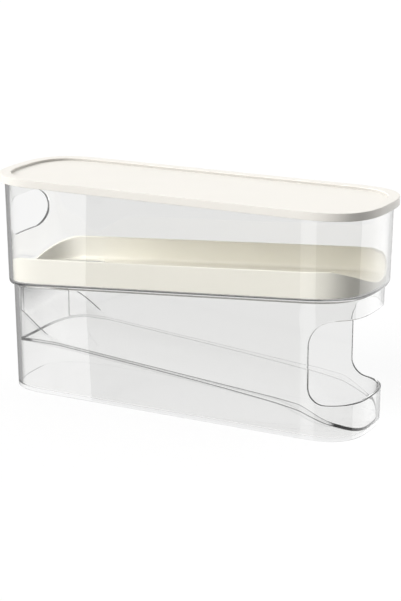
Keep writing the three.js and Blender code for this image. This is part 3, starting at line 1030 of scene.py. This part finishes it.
def clear_plastic(name, finishes):
    """Clear moulded plastic: glass that bends light, with faint flow waves and fine scuffs.

    It takes up a little light on the way, which shows at its edges, and its colour is painted
    darker where a wall turns away from the view.
    """
    material = bpy.data.materials.new(name)
    nodes = Nodes(material)
    # Painted shade: the colour darkens where a wall turns away from the view
    facing = nodes.add("LayerWeight", "Facing", {"Blend": 0.5})
    grazing = nodes.ranged(facing, 0.6, 0.97)
    plastic = nodes.add("BsdfPrincipled", "BSDF", {
        "Base Color": nodes.blend(grazing, opaque(finishes.clear), opaque(finishes.clear_painted_dark)),
        "Roughness": nodes.ranged(nodes.noise(scale=180.0, detail=5.0), 0.4, 0.8, to_high=0.015),
        "IOR": 1.57, "Transmission Weight": 1.0,
        "Normal": nodes.bump(nodes.noise(scale=22.0, detail=1.0), strength=0.004, distance=0.001),
    })
    grey = nodes.add("VolumeAbsorption", "Volume", {
        "Color": (0.1, 0.1, 0.08, 1), "Density": finishes.absorption,
    })
    nodes.add("OutputMaterial", None, {"Surface": nodes.lamps_pass(plastic), "Volume": grey})
    return material


def inner_plastic(name, finishes):
    """Clear plastic behind the walls: it bends no light, and its rounded edges are painted dark,
    standing in for the dark that bent light shows there.
    """
    material = bpy.data.materials.new(name)
    nodes = Nodes(material)
    plastic = nodes.add("BsdfPrincipled", "BSDF", {
        # Painted dark lines where the piece picks out its edges
        "Base Color": nodes.painted_dark(opaque(finishes.inner), opaque(finishes.inner_painted_dark)),
        "Roughness": nodes.ranged(nodes.noise(scale=150.0, detail=5.0), 0.4, 0.8, to_high=0.04),
        "IOR": 1.0, "Transmission Weight": 1.0,
        "Coat Weight": 0.4, "Coat Roughness": 0.03, "Coat IOR": 1.45,
    })
    nodes.add("OutputMaterial", None, {"Surface": nodes.lamps_pass(plastic)})
    return material


def white_plastic(name, tone, roughness, grain, coat):
    """Warm white moulded plastic with a fine grain, faint mottling, a soft gloss and painted shade
    in the corners that a piece picks out.
    """
    material = bpy.data.materials.new(name)
    nodes = Nodes(material)
    fine = nodes.noise(scale=grain, detail=2.0)
    clouds = nodes.noise(scale=30.0, detail=3.0)
    mottled = nodes.blend(clouds, opaque(tone, MOTTLED), opaque(tone))
    rough = nodes.ranged(fine, 0.0, 1.0, roughness - ROUGH_SPREAD, roughness + ROUGH_SPREAD)
    plastic = nodes.add("BsdfPrincipled", "BSDF", {
        # Painted shade: the picked-out corners take a darker share of the tone
        "Base Color": nodes.painted_dark(mottled, opaque(tone, SHADED)),
        "Roughness": rough, "IOR": 1.5,
        "Normal": nodes.bump(fine, strength=0.08, distance=0.0004),
        "Coat Weight": coat, "Coat Roughness": 0.12,
    })
    nodes.add("OutputMaterial", None, {"Surface": plastic})
    return material


def floor_material(tone):
    """Pale floor: nearly white to the camera, with a soft shadow.

    Clear pieces show it white, and less so where their faces reflect it.
    """
    material = bpy.data.materials.new("pale_floor")
    nodes = Nodes(material)
    grain = nodes.noise(scale=60.0, detail=2.0)
    shade = nodes.blend(grain, opaque(tone, GRAINED), opaque(tone))
    seen = nodes.ray("Is Camera Ray")
    matt = nodes.add("BsdfDiffuse", "BSDF", {
        "Color": nodes.blend(seen, shade, opaque([FLOOR_TONE] * 3)),
    })
    glow = nodes.light("Emission", WHITE, nodes.math("MULTIPLY", seen, FLOOR_GLOW))
    both = nodes.add("AddShader", "Shader", {0: matt, 1: glow})
    reflected = nodes.math("GREATER_THAN", nodes.ray("Glossy Depth"), 0.5)
    change = nodes.math("MULTIPLY", reflected, FLOOR_REFLECTED - FLOOR_STRAIGHT)
    white = nodes.light("Emission", WHITE, nodes.math("ADD", change, FLOOR_STRAIGHT))
    surface = nodes.either(nodes.ray("Is Transmission Ray"), both, white)
    nodes.add("OutputMaterial", None, {"Surface": surface})
    return material


def stepped(nodes, value, steps):
    """A value's curve in straight stretches: steps are (place, level) with places in 0..1."""
    output = nodes.add("ValToRGB", "Color", {"Fac": value})
    elements = output.node.color_ramp.elements
    elements.remove(elements[1])
    elements[0].position = steps[0][0]
    elements[0].color = opaque([steps[0][1]] * 3)
    for place, level in steps[1:]:
        elements.new(place).color = opaque([level] * 3)
    return output


def screened(nodes, value, level, cards):
    """A level times a share that changes sharply: cards are (place, share beyond it)."""
    share, before = 1.0, 1.0
    for place, beyond in cards:
        change = nodes.math("MULTIPLY", nodes.math("GREATER_THAN", value, place), beyond - before)
        share, before = nodes.math("ADD", change, share), beyond
    return nodes.math("MULTIPLY", level, share)


def studio_world():
    """Pale studio: white to the camera, and a plain soft light, weaker from the front right.

    Gloss sees soft boxes and dark cards by compass direction, counterclockwise from +X, and a
    pale floor and ceiling. Clear pieces bend some light from a darker ceiling.
    """
    world = bpy.data.worlds.new("studio")
    bpy.context.scene.world = world
    nodes = Nodes(world)
    direction = {0: nodes.add("TexCoord", "Generated")}
    x, y, z = [nodes.add("SeparateXYZ", axis, direction) for axis in "XYZ"]
    turn = nodes.math("ARCTAN2", y, x)
    compass = nodes.math("ADD", nodes.math("MULTIPLY", turn, 0.5 / math.pi), 0.5)
    height = nodes.math("ADD", nodes.math("MULTIPLY", z, 0.5), 0.5)

    def by_compass(levels, scale=1.0):
        return [((180 + angle) / 360, level / scale) for angle, level in levels]

    boxes = stepped(nodes, compass, by_compass(SOFT_BOXES, BOX_SCALE))
    boxes = screened(nodes, compass, boxes, by_compass(CARDS))
    boxes = nodes.blend(stepped(nodes, height, BOX_BAND), opaque([BESIDE_BOXES] * 3), boxes)
    mix = nodes.light("Background", stepped(nodes, compass, by_compass(ROOM)), 1.0)
    for kind, tone, strength in (
        ("Is Camera Ray", WHITE, 1.0),
        ("Is Transmission Ray", stepped(nodes, height, CEILING), 1.0),
        ("Is Glossy Ray", boxes, BOX_SCALE),
    ):
        mix = nodes.either(nodes.ray(kind), mix, nodes.light("Background", tone, strength))
    nodes.add("OutputWorld", None, {"Surface": mix})


def soft_sun():
    """The key lamp, soft and distant. No piece shows it by reflecting or bending it."""
    lamp = bpy.data.lights.new("key", "SUN")
    lamp.angle = math.radians(KEY_SPREAD)
    lamp.energy = KEY_STRENGTH
    sun = linked("key", lamp)
    sun.visible_glossy = sun.visible_transmission = False
    aimed(sun, KEY_PLACE, (0, 0, 0))


def add_camera():
    """The camera at the photograph's viewpoint, with its focal length from pixels."""
    c = bpy.context.scene.dispenser_camera
    data = bpy.data.cameras.new("camera")
    data.sensor_fit = "VERTICAL"
    data.sensor_height = 36.0
    data.lens = c.focal_pixels * data.sensor_height / c.picture_height
    data.clip_start, data.clip_end = 0.01, 50.0
    camera = linked("camera", data)
    aimed(camera, c.place, c.aim)
    bpy.context.scene.camera = camera


def shared_plan(context):
    """The plan outline, with stations measured along the body's channel."""
    return Plan(context.scene.dispenser_plan, STATION_HALF)


class DISPENSER_OT_clear_body(bpy.types.Operator):
    """Make the clear body with its dispensing window and finger slot"""

    bl_idname = "dispenser.clear_body"
    bl_label = "Clear body"

    def execute(self, context):
        scene = context.scene
        seat = scene.dispenser_lid.seat
        patches = body_patches(shared_plan(context), scene.dispenser_body, seat)
        material = clear_plastic("clear_plastic", scene.dispenser_finishes)
        placed("clear_body_shell", patches, material, "body", "clear_body")
        return {"FINISHED"}


class DISPENSER_OT_guides(bpy.types.Operator):
    """Make the clear roll-out ramp and the clear drop scoop"""

    bl_idname = "dispenser.guides"
    bl_label = "Ramp and scoop"

    def execute(self, context):
        scene, plan = context.scene, shared_plan(context)
        wall = TierWall(plan, scene.dispenser_body)
        material = inner_plastic("clear_plastic_inner", scene.dispenser_finishes)
        patches = ramp_patches(plan, scene.dispenser_ramp, wall)
        placed("ramp_trough", patches, material, "body", "roll_out_ramp")
        patches = scoop_patches(plan, scene.dispenser_scoop, scene.dispenser_ramp, wall)
        placed("scoop_sheet", patches, material, "body", "drop_scoop")
        return {"FINISHED"}


class DISPENSER_OT_tray(bpy.types.Operator):
    """Make the white sloping tray"""

    bl_idname = "dispenser.tray"
    bl_label = "Sloping tray"

    def execute(self, context):
        scene = context.scene
        patches = tray_patches(shared_plan(context), scene.dispenser_tray, scene.dispenser_body)
        tone = scene.dispenser_finishes.tray
        material = white_plastic("white_tray", tone, roughness=0.3, grain=900.0, coat=0.1)
        placed("tray_shell", patches, material, "tray", "sloping_tray")
        return {"FINISHED"}


class DISPENSER_OT_lid(bpy.types.Operator):
    """Make the white lid"""

    bl_idname = "dispenser.lid"
    bl_label = "Lid"

    def execute(self, context):
        scene = context.scene
        patches = lid_patches(shared_plan(context), scene.dispenser_lid, scene.dispenser_body)
        tone = scene.dispenser_finishes.lid
        material = white_plastic("white_lid", tone, roughness=0.45, grain=1400.0, coat=0.0)
        placed("lid_cap", patches, material, "lid_cap", "lid")
        return {"FINISHED"}


class DISPENSER_OT_stage(bpy.types.Operator):
    """Make the floor, the lights and the camera"""

    bl_idname = "dispenser.stage"
    bl_label = "Stage"

    def execute(self, context):
        scene = context.scene
        scene.view_settings.view_transform = "Standard"
        data = bpy.data.meshes.new("floor")
        corners = [(FLOOR_REACH * x, FLOOR_REACH * y, FLOOR_HEIGHT)
                   for x, y in ((-1, -1), (1, -1), (1, 1), (-1, 1))]
        data.from_pydata(corners, [], [(0, 1, 2, 3)])
        data.materials.append(floor_material(scene.dispenser_finishes.floor))
        floor = linked("floor", data)
        floor.visible_glossy = False
        studio_world()
        soft_sun()
        add_camera()
        return {"FINISHED"}


class DISPENSER_PT_panel(bpy.types.Panel):
    """Lists the pieces in the sidebar"""

    bl_idname = "DISPENSER_PT_panel"
    bl_label = "Dispenser"
    bl_space_type = "VIEW_3D"
    bl_region_type = "UI"
    bl_category = "Dispenser"

    def draw(self, context):
        for operator in OPERATORS:
            self.layout.operator(operator.bl_idname)
        for name in GROUPS:
            group = getattr(context.scene, name)
            box = self.layout.box()
            box.label(text=group.bl_rna.name)
            for key in group.bl_rna.properties.keys():
                if key not in {"rna_type", "name"}:
                    box.prop(group, key)


GROUPS = {
    "dispenser_plan": PlanSizes,
    "dispenser_body": BodySizes,
    "dispenser_ramp": RampSizes,
    "dispenser_scoop": ScoopSizes,
    "dispenser_tray": TraySizes,
    "dispenser_lid": LidSizes,
    "dispenser_finishes": Finishes,
    "dispenser_camera": CameraSizes,
}
OPERATORS = (
    DISPENSER_OT_clear_body,
    DISPENSER_OT_guides,
    DISPENSER_OT_tray,
    DISPENSER_OT_lid,
    DISPENSER_OT_stage,
)


def register():
    """Registers the property groups, the operators and the panel."""
    for name, group in GROUPS.items():
        bpy.utils.register_class(group)
        setattr(bpy.types.Scene, name, bpy.props.PointerProperty(type=group))
    for cls in (*OPERATORS, DISPENSER_PT_panel):
        bpy.utils.register_class(cls)


def unregister():
    """Takes back what register adds."""
    for cls in (DISPENSER_PT_panel, *reversed(OPERATORS)):
        bpy.utils.unregister_class(cls)
    for name, group in reversed(GROUPS.items()):
        delattr(bpy.types.Scene, name)
        bpy.utils.unregister_class(group)


def main():
    """Makes the pieces and the stage."""
    register()
    bpy.ops.dispenser.clear_body()
    bpy.ops.dispenser.guides()
    bpy.ops.dispenser.tray()
    bpy.ops.dispenser.lid()
    bpy.ops.dispenser.stage()


if __name__ == "__main__":
    main()
